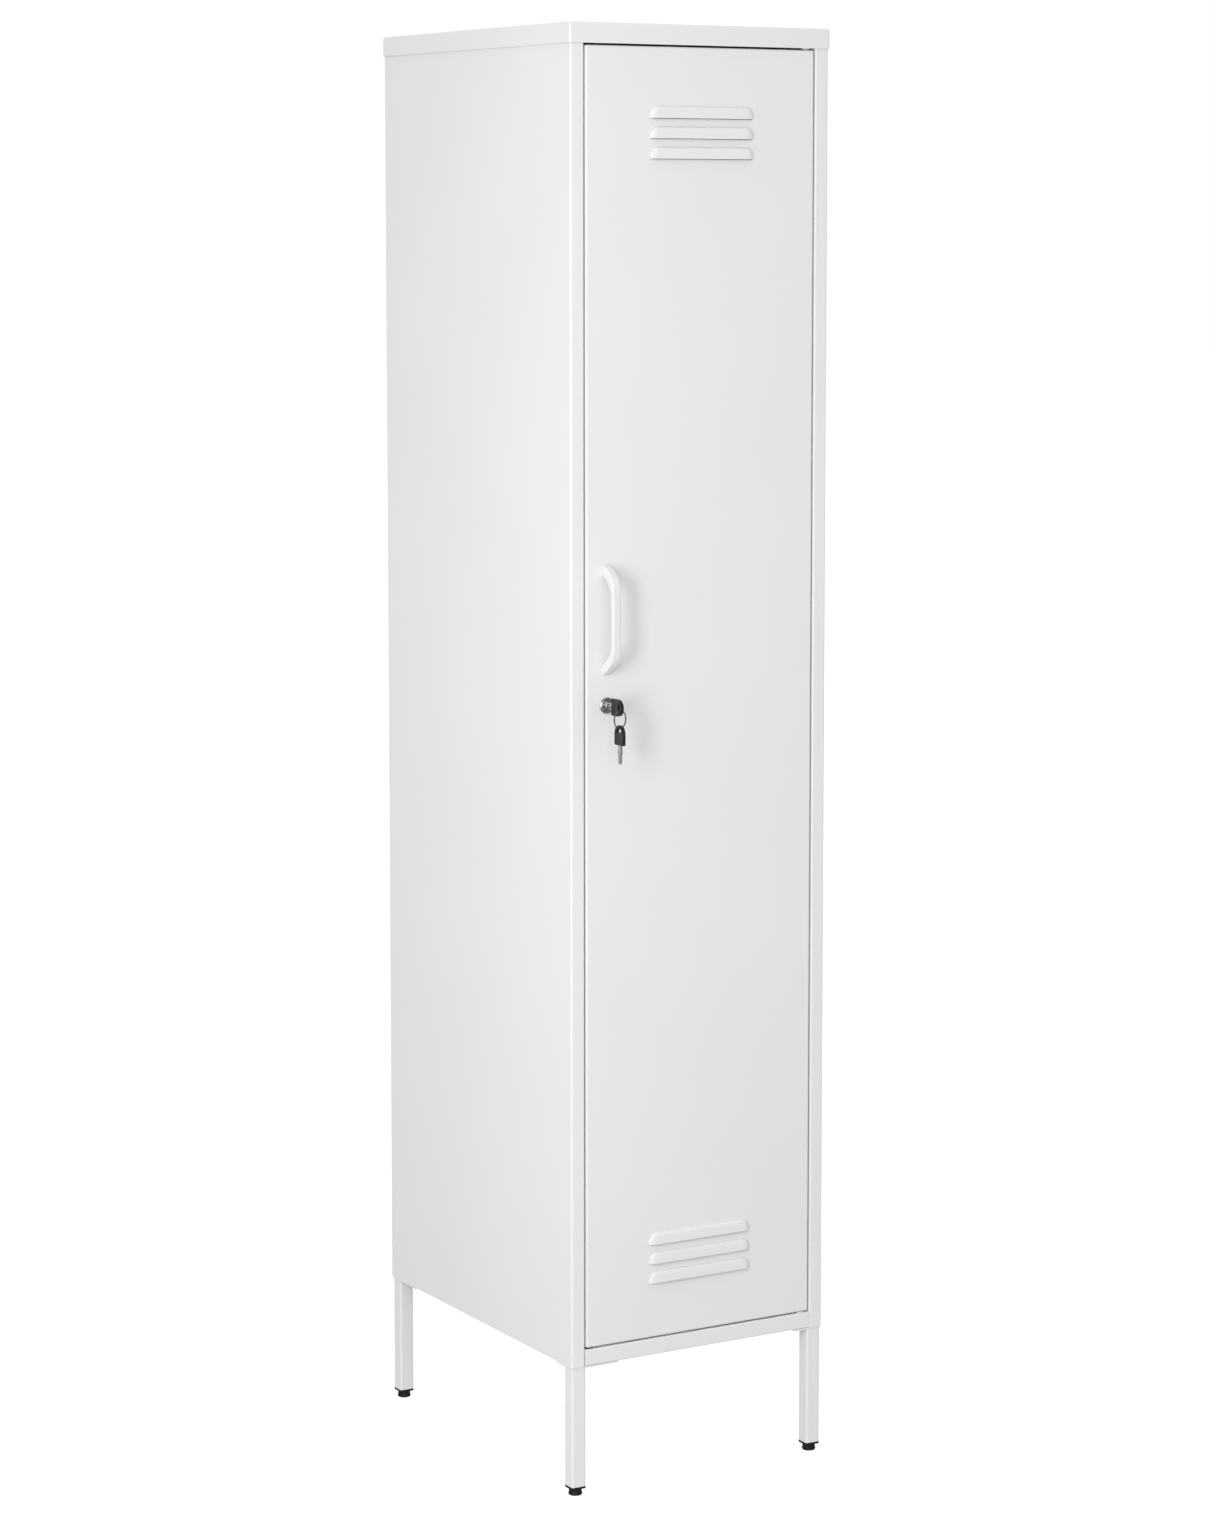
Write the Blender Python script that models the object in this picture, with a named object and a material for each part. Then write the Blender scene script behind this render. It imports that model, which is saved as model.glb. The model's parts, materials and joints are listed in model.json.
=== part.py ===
"""A tall single-door steel school locker on four legs, for Blender 4.5.

Metres, +Z up, +X to the right as one faces the door, +Y to the back. The origin is on the floor, in
the middle of the whole object's plan, keys included.
"""

import math

import bmesh
import bpy
from mathutils import Matrix, Vector

MM = 0.001

# --- Driving dimensions ----------------------------------------------------------------------------

WIDTH = 380 * MM  # over the top cap
DEPTH = 500 * MM
HEIGHT = 1850 * MM
SHEET = 0.8 * MM  # all folded panels
FIT = 0.3 * MM  # clearance between pieces that touch
BEND = 2.5 * MM  # outer radius of a fold

CAP_SKIRT = 25 * MM
CAP_OVERHANG = 1.5 * MM
BODY_BOTTOM = 168 * MM
FLOOR_TOP = 189 * MM  # the bottom tray's upper face
POST_WIDTH = 19.5 * MM
POST_DEPTH = 20.5 * MM
POST_RETURN = 11 * MM
REAR_FLANGE = 15 * MM

DOOR_GAP = 2 * MM
DOOR_DEPTH = 18 * MM
DOOR_LIP = 11 * MM
HINGE_INSET = 9.5 * MM  # hinge axis from the door's right edge
HINGE_DEPTH = 6 * MM  # hinge axis behind the door's face
PIN_RADIUS = 2.5 * MM
BUSH_RADIUS = 3.8 * MM

LOUVRE_WIDTH = 150 * MM
LOUVRE_HEIGHT = 14.5 * MM
LOUVRE_STAND = 4 * MM
LOUVRE_END = 11 * MM  # how far the rounded end reaches in
LOUVRE_FULLNESS = 4  # 2 would be a plain ellipse, more is squarer at the shoulder
LOUVRE_LIPS = [z * MM for z in (1735, 1710, 1685, 312, 287, 262)]

FITTINGS_X = -138 * MM  # handle and lock share one vertical line
LOCK_Z = 1008 * MM
HANDLE_Z = 1115 * MM
HANDLE_LENGTH = 138 * MM
HANDLE_WIDTH = 12 * MM
HANDLE_STAND = 27 * MM
HANDLE_GRIP_BACK = 20 * MM  # clear space behind the grip
HANDLE_SCREW_INSET = 7.5 * MM
SCREW_RADIUS = 1.7 * MM
SCREW_REACH = 5.5 * MM  # into the handle, from the door's face
SCREW_HEAD = 4 * MM

ROSETTE_RADIUS = 10.5 * MM
ROSETTE_THICK = 3.2 * MM
BARREL_RADIUS = 9 * MM
BARREL_REACH = 18 * MM
PLUG_RADIUS = 6 * MM
PLUG_PROUD = 0.4 * MM
PLUG_TAIL = 7 * MM  # square end that drives the cam
NUT_THICK = 4 * MM
NUT_FLATS = 23 * MM
CAM_SCREW_RADIUS = 2 * MM
CAM_SCREW_REACH = 11 * MM
CAM_THICK = 2.5 * MM
CAM_LENGTH = 40 * MM
CAM_WIDTH = 13 * MM

BOW_LENGTH = 25 * MM
BOW_WIDTH = 21 * MM
BOW_THICK = 3.8 * MM
BOW_HOLE_CHORD = 9.2 * MM  # from the bow's tip to the straight side of its hole
BOW_HOLE_DEPTH = 6 * MM
BOW_HOLE_HALF = 5.5 * MM
WIRE_FROM_CHORD = 2.8 * MM  # the ring's wire in the hole
NECK_LENGTH = 11 * MM  # the blade's wide part, which stays outside the lock
NECK_WIDTH = 9 * MM
BLADE_LENGTH = 13 * MM
BLADE_WIDTH = 7 * MM
BLADE_THICK = 1.8 * MM
TANG_LENGTH = 7.7 * MM
RING_RADIUS = 11.2 * MM  # to the middle of the wire
RING_WIRE = 0.8 * MM
RING_TURN = math.radians(21.5)  # the ring's plane, from the door's plane

TUBE = 20 * MM
TUBE_WALL = 1.5 * MM
TUBE_BOTTOM = 12 * MM
LEG_INSET = 1 * MM  # leg plate inside the body's outline
LEG_REAR_INSET = 2.5 * MM
PLATE_LONG = 67.5 * MM
PLATE_SHORT = 40 * MM
PLATE_THICK = 2.2 * MM
TUBE_OFFSET = 0.5 * MM  # tube inside the plate's edges
PLATE_BOLTS = ((34 * MM, 20 * MM), (56 * MM, 20 * MM))
BOLT_RADIUS = 2.7 * MM
FOOT_RADIUS = 9 * MM
FOOT_HEIGHT = 8.8 * MM
STUD_RADIUS = 4 * MM

SHELF_Z = 1520 * MM
SHELF_SKIRT = 18 * MM
SHELF_ANGLE = 16 * MM  # each leg of the angles under the shelf
SHELF_ANGLE_THICK = 1.2 * MM
RAIL_Z = 1455 * MM
RAIL_RADIUS = 10 * MM
RAIL_WALL = 1.2 * MM

STIFFENER_TOP = 1655 * MM
STIFFENER_BOTTOM = 345 * MM
STIFFENER_DEPTH = 15 * MM  # from the door's face to the stiffener's crown
STIFFENER_CROWN = 20 * MM  # half the crown's width
STIFFENER_HALF = 36 * MM  # half the width over its flanges

THROUGH = 5 * MM  # how far a cutter reaches past what it cuts

# --- Places worked out from them ---------------------------------------------------------------------

BOW_TIP_REACH = ROSETTE_THICK + PLUG_PROUD + 2 * FIT + NECK_LENGTH + BOW_LENGTH
RING_REACH = BOW_TIP_REACH - BOW_HOLE_CHORD + WIRE_FROM_CHORD
KEY_REACH = RING_REACH + BOW_WIDTH / 2 - CAP_OVERHANG  # the spare key's bow, before the cap
CAP_FRONT = -(DEPTH + KEY_REACH) / 2 + KEY_REACH
CAP_BACK = CAP_FRONT + DEPTH
FACE = CAP_FRONT + CAP_OVERHANG  # front of the posts and the door
BACK = CAP_BACK - CAP_OVERHANG
SIDE = WIDTH / 2 - CAP_OVERHANG  # half the body's width
OPENING = SIDE - POST_WIDTH  # half the door opening's width
CAP_BOTTOM = HEIGHT - CAP_SKIRT
PANEL_TOP = HEIGHT - 6 * MM  # the sheets end below the cap's rounded fold
DOOR_HALF = OPENING - DOOR_GAP
DOOR_BOTTOM = FLOOR_TOP + DOOR_GAP
DOOR_TOP = CAP_BOTTOM - DOOR_GAP - FIT
DOOR_REAR = FACE + DOOR_DEPTH
HINGE_X = DOOR_HALF - HINGE_INSET
HINGE_Y = FACE + HINGE_DEPTH
DOOR_AXIS = (HINGE_X, HINGE_Y, 0)  # origin of all that swings with the door
LOCK_AXIS = (FITTINGS_X, FACE, LOCK_Z)  # origin of all that turns with the lock's plug
REAR_OF_INSIDE = BACK - 2 * SHEET - FIT  # front face of the back panel
PLUG_FACE = FACE - FIT - ROSETTE_THICK - PLUG_PROUD
BOW_START = PLUG_FACE - FIT - NECK_LENGTH
CAM_FRONT = FACE + POST_DEPTH + 2 * MM
RING_TOP_Y = FACE - RING_REACH
RING_TOP_Z = LOCK_Z - 3 * MM
RING_BOTTOM_Z = RING_TOP_Z - 2 * RING_RADIUS
SPARE_TIP_Z = RING_BOTTOM_Z + RING_WIRE + FIT + BOW_HOLE_CHORD - BOW_HOLE_DEPTH
UNDERSIDE_FLANGE = 75 * MM  # the tray's turned-in lower edge, front and back
UNDERSIDE_OPENING = 140 * MM  # half the width left open between the side flanges


# --- Materials -----------------------------------------------------------------------------------------


def material(name, colour, roughness, metallic=0.0):
    made = bpy.data.materials.new(name)
    made.use_nodes = True
    shader = made.node_tree.nodes["Principled BSDF"]
    shader.inputs["Base Color"].default_value = (*colour, 1.0)
    shader.inputs["Roughness"].default_value = roughness
    shader.inputs["Metallic"].default_value = metallic
    return made


def make_materials():
    return {
        "powder_white": material("powder_white", (0.82, 0.82, 0.82), 0.45),
        "handle_white": material("handle_white", (0.84, 0.84, 0.84), 0.35),
        "chrome": material("chrome", (0.75, 0.75, 0.76), 0.15, 1.0),
        "steel": material("steel", (0.55, 0.55, 0.56), 0.35, 1.0),
        "zinc": material("zinc", (0.62, 0.62, 0.6), 0.45, 1.0),
        "black_plastic": material("black_plastic", (0.02, 0.02, 0.02), 0.5),
        "nylon": material("nylon", (0.75, 0.75, 0.72), 0.55),
        "rubber": material("rubber", (0.015, 0.015, 0.015), 0.85),
    }


# --- Shapes ----------------------------------------------------------------------------------------------


def clear_scene():
    for old in list(bpy.data.objects):
        bpy.data.objects.remove(old, do_unlink=True)


def place(name, bm, surface, origin=(0, 0, 0)):
    """A bmesh drawn in world places becomes an object whose origin is at the given point."""
    bmesh.ops.recalc_face_normals(bm, faces=bm.faces)
    bmesh.ops.translate(bm, verts=bm.verts, vec=-Vector(origin))
    mesh = bpy.data.meshes.new(name)
    bm.to_mesh(mesh)
    bm.free()
    mesh.shade_smooth()
    mesh.set_sharp_from_angle(angle=math.radians(30))
    made = bpy.data.objects.new(name, mesh)
    made.location = origin
    if surface:
        mesh.materials.append(surface)
    bpy.context.scene.collection.objects.link(made)
    return made


def helper(name, bm):
    """A cutter or an addition for a Boolean, which isn't a piece of the locker."""
    made = place(name, bm, None)
    made.hide_render = True
    made.display_type = "WIRE"
    return made


def boolean(target, other, operation="DIFFERENCE"):
    step = target.modifiers.new(other.name, "BOOLEAN")
    step.operation = operation
    step.solver = "EXACT"
    step.object = other


def cut(target, bm):
    boolean(target, helper(f"{target.name}_cut_{len(target.modifiers)}", bm))


def join(target, bm):
    boolean(target, helper(f"{target.name}_join_{len(target.modifiers)}", bm), "UNION")


def merged(*parts):
    """Several separate bmeshes in one."""
    whole = bmesh.new()
    for part in parts:
        mesh = bpy.data.meshes.new("part")
        part.to_mesh(mesh)
        part.free()
        whole.from_mesh(mesh)
        bpy.data.meshes.remove(mesh)
    return whole


def box(low, high, radius=0.0, segments=3, rounded=lambda middle: True):
    """A box, with the edges whose middle passes the test rounded."""
    bm = bmesh.new()
    bmesh.ops.create_cube(bm, size=1.0)
    low, high = Vector(low), Vector(high)
    for vert in bm.verts:
        vert.co = Vector(h if c > 0 else l for c, l, h in zip(vert.co, low, high))
    if radius:
        edges = [e for e in bm.edges if rounded((e.verts[0].co + e.verts[1].co) / 2)]
        bmesh.ops.bevel(
            bm,
            geom=edges,
            offset=radius,
            segments=segments,
            profile=0.5,
            affect="EDGES",
        )
    return bm


def prism(outline, low, high, axis="Z"):
    """A flat outline drawn out along an axis. Its points are (x, y), (x, z) or (y, z)."""
    bm = bmesh.new()
    ends = []
    for level in (low, high):
        ring = []
        for a, b in outline:
            point = {"Z": (a, b, level), "Y": (a, level, b), "X": (level, a, b)}[axis]
            ring.append(bm.verts.new(point))
        ends.append(ring)
    bm.faces.new(ends[0])
    bm.faces.new(reversed(ends[1]))
    count = len(outline)
    for i in range(count):
        j = (i + 1) % count
        bm.faces.new((ends[0][j], ends[0][i], ends[1][i], ends[1][j]))
    return bm


def turned(profile, centre, axis="Z", segments=24):
    """A closed profile of (radius, height) points turned about an axis through the centre."""
    bm = bmesh.new()
    rings = []
    for radius, height in profile:
        count = segments if radius > 0 else 1
        ring = []
        for i in range(count):
            angle = 2 * math.pi * (i + 0.5) / segments
            a, b = radius * math.cos(angle), radius * math.sin(angle)
            point = {"Z": (a, b, height), "Y": (a, height, b), "X": (height, a, b)}
            ring.append(bm.verts.new(Vector(point[axis]) + Vector(centre)))
        rings.append(ring)
    for here, there in zip(rings, rings[1:] + rings[:1]):
        if len(here) == 1 and len(there) == 1:
            continue
        for i in range(segments):
            j = (i + 1) % segments
            corners = [
                here[i % len(here)],
                here[j % len(here)],
                there[j % len(there)],
                there[i % len(there)],
            ]
            bm.faces.new(list(dict.fromkeys(corners)))
    return bm


def disc(radius, low, high, centre, axis="Z", segments=16):
    profile = ((0, low), (radius, low), (radius, high), (0, high))
    return turned(profile, centre, axis, segments)


def hexagon(flats, low, high, centre, axis="Z"):
    return disc(flats / math.sqrt(3), low, high, centre, axis, 6)


def arc(centre, radius, start, end, steps):
    """Points on an arc, both ends included. Angles are in degrees."""
    points = []
    for i in range(steps + 1):
        angle = math.radians(start + (end - start) * i / steps)
        points.append(
            (
                centre[0] + radius * math.cos(angle),
                centre[1] + radius * math.sin(angle),
            )
        )
    return points


def folded(path, thick=SHEET, bend=BEND, steps=4):
    """The section of a sheet folded along a path. The sheet lies on the path's left."""
    path = [Vector(p) for p in path]
    outer, inner = [], []

    def side(a, b):
        along = (b - a).normalized()
        return Vector((-along.y, along.x))

    for i, here in enumerate(path):
        if i == 0 or i == len(path) - 1:
            a, b = (path[0], path[1]) if i == 0 else (path[-2], path[-1])
            outer.append(here)
            inner.append(here + side(a, b) * thick)
            continue
        before, after = side(path[i - 1], here), side(here, path[i + 1])
        turn_left = before.cross(after) > 0
        reach = bend if turn_left else -(bend - thick)
        centre = here + (before + after) * reach
        for k in range(steps + 1):
            share = k / steps
            spread = before.angle_signed(after)
            way = before.copy()
            way.rotate(Matrix.Rotation(-spread * share, 2))
            outer.append(centre - way * reach)
            inner.append(centre - way * (reach - thick))
    return [tuple(p) for p in outer + inner[::-1]]


def mirrored(outline):
    return [(-a, b) for a, b in reversed(outline)]


# --- Carcass -----------------------------------------------------------------------------------------


def side_panels(look):
    """Each side is one sheet: rear flange, side, front post and the post's returns."""
    path = [
        (-SIDE + REAR_FLANGE, BACK),
        (-SIDE, BACK),
        (-SIDE, FACE),
        (-OPENING, FACE),
        (-OPENING, FACE + POST_DEPTH),
        (-OPENING - POST_RETURN, FACE + POST_DEPTH),
    ]
    left = folded(path)
    place("left_side_panel", prism(left, BODY_BOTTOM, PANEL_TOP), look["powder_white"])
    place(
        "right_side_panel",
        prism(mirrored(left), BODY_BOTTOM, PANEL_TOP),
        look["powder_white"],
    )


def back_panel(look):
    half = SIDE - BEND - FIT
    place(
        "back_panel",
        box(
            (-half, REAR_OF_INSIDE, BODY_BOTTOM + FIT),
            (half, REAR_OF_INSIDE + SHEET, PANEL_TOP),
        ),
        look["powder_white"],
    )


def top_cap(look):
    half = WIDTH / 2
    cap = place(
        "top_cap",
        box(
            (-half, CAP_FRONT, CAP_BOTTOM),
            (half, CAP_BACK, HEIGHT),
            BEND,
            rounded=lambda middle: middle.z > CAP_BOTTOM + MM,
        ),
        look["powder_white"],
    )
    below = CAP_BOTTOM - THROUGH
    cut(
        cap,
        box(
            (-half + SHEET, CAP_FRONT + SHEET, below),
            (half - SHEET, CAP_BACK - SHEET, HEIGHT - SHEET),
            BEND - SHEET,
            rounded=lambda middle: middle.z > below + MM,
        ),
    )


def top_rail(look):
    """The folded rail behind the cap's skirt, which carries the upper hinge bush."""
    bottom = CAP_BOTTOM + FIT
    depth = POST_DEPTH + 4 * MM
    path = [
        (FACE, PANEL_TOP),
        (FACE, bottom),
        (FACE + depth, bottom),
        (FACE + depth, bottom + 13 * MM),
    ]
    half = OPENING - FIT
    rail = place("top_rail", prism(folded(path), -half, half, "X"), look["powder_white"])
    centre = (HINGE_X, HINGE_Y, bottom)
    cut(rail, disc(BUSH_RADIUS + FIT, -THROUGH, THROUGH, centre))


def bottom_tray(look):
    """Floor, front rail and a turned-in underside in one folded tray."""
    front, back = FACE, REAR_OF_INSIDE - FIT
    narrow, wide = OPENING - FIT, SIDE - SHEET - FIT
    step = FACE + POST_DEPTH + FIT

    def outline(inset):
        n, w = narrow - inset, wide - inset
        f, s, b = front + inset, step + inset, back - inset
        return [(-n, f), (n, f), (n, s), (w, s), (w, b), (-w, b), (-w, s), (-n, s)]

    bm = prism(outline(0), BODY_BOTTOM, FLOOR_TOP)
    edges = []
    for edge in bm.edges:
        middle = (edge.verts[0].co + edge.verts[1].co) / 2
        level = abs(edge.verts[0].co.z - edge.verts[1].co.z) < 1e-6
        if level and abs(middle.y - front) < 1e-6:
            edges.append(edge)
    bmesh.ops.bevel(
        bm, geom=edges, offset=1.5 * MM, segments=3, profile=0.5, affect="EDGES"
    )
    tray = place("bottom_tray", bm, look["powder_white"])
    cut(tray, prism(outline(SHEET), BODY_BOTTOM + SHEET, FLOOR_TOP - SHEET))
    cut(
        tray,
        box(
            (-UNDERSIDE_OPENING, FACE + UNDERSIDE_FLANGE, BODY_BOTTOM - THROUGH),
            (UNDERSIDE_OPENING, BACK - UNDERSIDE_FLANGE, BODY_BOTTOM + THROUGH),
        ),
    )
    centre = (HINGE_X, HINGE_Y, FLOOR_TOP)
    holes = [disc(BUSH_RADIUS + FIT, -THROUGH, THROUGH, centre)]
    for x, y in bolt_places():
        holes.append(disc(BOLT_RADIUS + FIT, -THROUGH, THROUGH, (x, y, BODY_BOTTOM)))
    cut(tray, merged(*holes))


def hinge_bushes(look):
    """Nylon bushes whose flanges stand in the door gap."""
    bore, body, flange = PIN_RADIUS + FIT, BUSH_RADIUS, 5.5 * MM
    rail = CAP_BOTTOM + FIT
    place(
        "hinge_bush_top",
        turned(
            (
                (bore, rail - 1.5 * MM),
                (flange, rail - 1.5 * MM),
                (flange, rail - FIT),
                (body, rail - FIT),
                (body, rail + 7 * MM),
                (bore, rail + 7 * MM),
            ),
            (HINGE_X, HINGE_Y, 0),
        ),
        look["nylon"],
    )
    floor = FLOOR_TOP
    place(
        "hinge_bush_bottom",
        turned(
            (
                (bore, floor - 7 * MM),
                (body, floor - 7 * MM),
                (body, floor + FIT),
                (flange, floor + FIT),
                (flange, floor + 1.6 * MM),
                (bore, floor + 1.6 * MM),
            ),
            (HINGE_X, HINGE_Y, 0),
        ),
        look["nylon"],
    )


def bumpers(look):
    """Rubber stops behind the door's free edge. The lower one has a toe under the door."""
    left, right = -DOOR_HALF + MM, -DOOR_HALF + 11 * MM
    near, far = DOOR_REAR + FIT, DOOR_REAR + 6 * MM
    floor = FLOOR_TOP + FIT
    toe = [
        (FACE + 3 * MM, floor),
        (far, floor),
        (far, floor + 15 * MM),
        (near + MM, floor + 15 * MM),
        (near, floor + 13 * MM),
        (near, DOOR_BOTTOM - FIT),
        (FACE + 3 * MM, DOOR_BOTTOM - FIT),
    ]
    place("door_bumper_bottom", prism(toe, left, right, "X"), look["rubber"])
    under = CAP_BOTTOM
    block = [
        (near, under),
        (near, under - 13 * MM),
        (near + MM, under - 15 * MM),
        (far, under - 15 * MM),
        (far, under),
    ]
    place("door_bumper_top", prism(block, left, right, "X"), look["rubber"])


# --- Legs --------------------------------------------------------------------------------------------


def corner_frames():
    """Each leg is the same part, turned a quarter from one corner to the next."""
    front, back = FACE + LEG_INSET, BACK - LEG_REAR_INSET
    side = SIDE - LEG_INSET
    return {
        "front_left": ((-side, front), 0),
        "front_right": ((side, front), 90),
        "rear_right": ((side, back), 180),
        "rear_left": ((-side, back), 270),
    }


def at_corner(corner, turn, point):
    x, y = point
    cos, sin = round(math.cos(math.radians(turn))), round(math.sin(math.radians(turn)))
    return (corner[0] + cos * x - sin * y, corner[1] + sin * x + cos * y)


def bolt_places():
    return [
        at_corner(corner, turn, point)
        for corner, turn in corner_frames().values()
        for point in PLATE_BOLTS
    ]


def span(corner, turn, low, high):
    """The world rectangle of a rectangle drawn in a corner's own frame."""
    a, b = at_corner(corner, turn, low), at_corner(corner, turn, high)
    return (min(a[0], b[0]), min(a[1], b[1])), (max(a[0], b[0]), max(a[1], b[1]))


def legs(look):
    plate_top = BODY_BOTTOM - FIT
    plate_bottom = plate_top - PLATE_THICK
    tube_low, tube_high = TUBE_OFFSET, TUBE_OFFSET + TUBE
    for name, (corner, turn) in corner_frames().items():
        low, high = span(corner, turn, (tube_low, tube_low), (tube_high, tube_high))
        leg = place(
            f"leg_{name}",
            box(
                (*low, TUBE_BOTTOM),
                (*high, plate_bottom + MM),
                BEND,
                rounded=lambda middle: TUBE_BOTTOM + MM < middle.z < plate_bottom,
            ),
            look["powder_white"],
        )
        a, b = span(corner, turn, (0, 0), (PLATE_LONG, PLATE_SHORT))
        join(leg, box((*a, plate_bottom), (*b, plate_top)))
        cut(
            leg,
            box(
                (low[0] + TUBE_WALL, low[1] + TUBE_WALL, TUBE_BOTTOM - THROUGH),
                (high[0] - TUBE_WALL, high[1] - TUBE_WALL, plate_bottom),
            ),
        )
        holes = []
        for point in PLATE_BOLTS:
            x, y = at_corner(corner, turn, point)
            holes.append(
                disc(BOLT_RADIUS + FIT, -THROUGH, THROUGH, (x, y, plate_bottom))
            )
        cut(leg, merged(*holes))
        leg_bolts(look, name, corner, turn, plate_bottom)
        middle = at_corner(corner, turn, (TUBE_OFFSET + TUBE / 2,) * 2)
        leg_end(look, name, middle)


def leg_bolts(look, name, corner, turn, plate_bottom):
    top = plate_bottom - FIT
    for which, point in zip(("inner", "outer"), reversed(PLATE_BOLTS)):
        x, y = at_corner(corner, turn, point)
        bolt = place(
            f"leg_bolt_{name}_{which}",
            hexagon(10 * MM, top - 4 * MM, top - MM, (x, y, 0)),
            look["zinc"],
        )
        shank = turned(
            (
                (0, top - 1.5 * MM),
                (6.5 * MM, top - 1.5 * MM),
                (6.5 * MM, top),
                (BOLT_RADIUS, top),
                (BOLT_RADIUS, top + 14 * MM),
                (0, top + 14 * MM),
            ),
            (x, y, 0),
            segments=12,
        )
        join(bolt, shank)


def leg_end(look, name, middle):
    """The square insert in the tube's end and the foot that screws into it."""
    x, y = middle
    half, plug = TUBE / 2, TUBE / 2 - TUBE_WALL - FIT
    flange_low, flange_high = FOOT_HEIGHT + FIT, TUBE_BOTTOM - FIT
    insert = place(
        f"foot_insert_{name}",
        box(
            (x - half, y - half, flange_low),
            (x + half, y + half, flange_high),
            1.5 * MM,
            segments=2,
            rounded=lambda middle: flange_low + FIT < middle.z < flange_high - FIT,
        ),
        look["black_plastic"],
    )
    insert_top = TUBE_BOTTOM + 18 * MM
    join(
        insert,
        box((x - plug, y - plug, flange_low + MM), (x + plug, y + plug, insert_top)),
    )
    cut(insert, disc(STUD_RADIUS + FIT, 0, insert_top + THROUGH, (x, y, 0)))
    r = FOOT_RADIUS
    place(
        f"levelling_foot_{name}",
        turned(
            (
                (0, 0),
                (r - 1.6 * MM, 0),
                (r - 0.5 * MM, 0.5 * MM),
                (r, 1.8 * MM),
                (r - 0.5 * MM, FOOT_HEIGHT - MM),
                (r - 1.2 * MM, FOOT_HEIGHT),
                (STUD_RADIUS, FOOT_HEIGHT),
                (STUD_RADIUS, FOOT_HEIGHT + 24 * MM),
                (0, FOOT_HEIGHT + 24 * MM),
            ),
            (x, y, 0),
        ),
        look["black_plastic"],
        origin=(x, y, 0),
    )


# --- Inside ------------------------------------------------------------------------------------------


def inside(look):
    half = SIDE - SHEET - 2 * FIT
    front, back = FACE + POST_DEPTH + 8 * MM, REAR_OF_INSIDE - FIT
    shelf = place(
        "hat_shelf",
        box(
            (-half, front, SHELF_Z - SHELF_SKIRT),
            (half, back, SHELF_Z),
            1.5 * MM,
            segments=2,
            rounded=lambda middle: middle.z > SHELF_Z - MM,
        ),
        look["powder_white"],
    )
    below = SHELF_Z - SHELF_SKIRT - THROUGH
    cut(
        shelf,
        box(
            (-half + SHEET, front + SHEET, below),
            (half - SHEET, back - SHEET, SHELF_Z - SHEET),
        ),
    )
    top = SHELF_Z - SHELF_SKIRT - FIT
    wall = SIDE - SHEET - FIT
    legs_of_angle = [
        (-wall + SHELF_ANGLE, top),
        (-wall, top),
        (-wall, top - SHELF_ANGLE),
    ]
    angle = folded(legs_of_angle, thick=SHELF_ANGLE_THICK)
    supports = {"left": angle, "right": mirrored(angle)}
    for name, section in supports.items():
        place(
            f"shelf_support_{name}",
            prism(section, front + 10 * MM, back - 15 * MM, "Y"),
            look["powder_white"],
        )
    hanging_rail(look, wall)


def hanging_rail(look, wall):
    y = (FACE + BACK) / 2
    centre = (0, y, RAIL_Z)
    end = wall - 3.5 * MM
    place(
        "hanging_rail",
        turned(
            (
                (RAIL_RADIUS - RAIL_WALL, -end),
                (RAIL_RADIUS, -end),
                (RAIL_RADIUS, end),
                (RAIL_RADIUS - RAIL_WALL, end),
            ),
            centre,
            "X",
            24,
        ),
        look["zinc"],
    )
    inner = RAIL_RADIUS + FIT
    for name, way in (("left", -1), ("right", 1)):
        profile = [
            (0, wall),
            (17 * MM, wall),
            (17 * MM, wall - 2 * MM),
            (13.5 * MM, wall - 3 * MM),
            (12.5 * MM, wall - 14 * MM),
            (inner, wall - 14 * MM),
            (inner, wall - 3 * MM),
            (0, wall - 3 * MM),
        ]
        place(
            f"rail_socket_{name}",
            turned([(r, way * x) for r, x in profile], centre, "X", 24),
            look["chrome"],
        )


# --- Door --------------------------------------------------------------------------------------------


def louvre_hood(lip, shrink):
    """A hood that stands out of the door, open below. Shrunk, it is the hollow inside."""
    half = LOUVRE_WIDTH / 2 - shrink
    stand = LOUVRE_STAND - shrink
    height = LOUVRE_HEIGHT - shrink
    bottom = lip - (0.5 * MM if shrink else 0)
    behind = FACE + (2 * SHEET if shrink else SHEET / 2)
    least = 0.08  # the end's own small face, as a share of the full section
    steps, rise = 6, 6
    columns = []
    for i in range(steps + 1):
        columns.append(-half + LOUVRE_END * (1 - math.cos(math.pi / 2 * i / steps)))
    columns += [-x for x in reversed(columns)]
    bm = bmesh.new()
    sections = []
    for x in columns:
        inward = min(half - abs(x), LOUVRE_END) / LOUVRE_END
        full = max(math.sqrt(max(0.0, 1 - (1 - inward) ** 2)), least)
        section = [(behind, bottom)]
        if shrink:
            section.append((FACE - stand * full, bottom))
        for i in range(rise):
            turn = math.pi / 2 * i / rise
            out = stand * full * math.cos(turn) ** (2 / LOUVRE_FULLNESS)
            up = height * full * math.sin(turn) ** (2 / LOUVRE_FULLNESS)
            section.append((FACE - out, lip + up))
        section.append((FACE, lip + height * full))
        section.append((behind, lip + height * full))
        sections.append([bm.verts.new((x, y, z)) for y, z in section])
    for here, there in zip(sections, sections[1:]):
        count = len(here)
        for i in range(count):
            j = (i + 1) % count
            bm.faces.new((here[i], here[j], there[j], there[i]))
    bm.faces.new(sections[0])
    bm.faces.new(sections[-1])
    return bm


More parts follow.
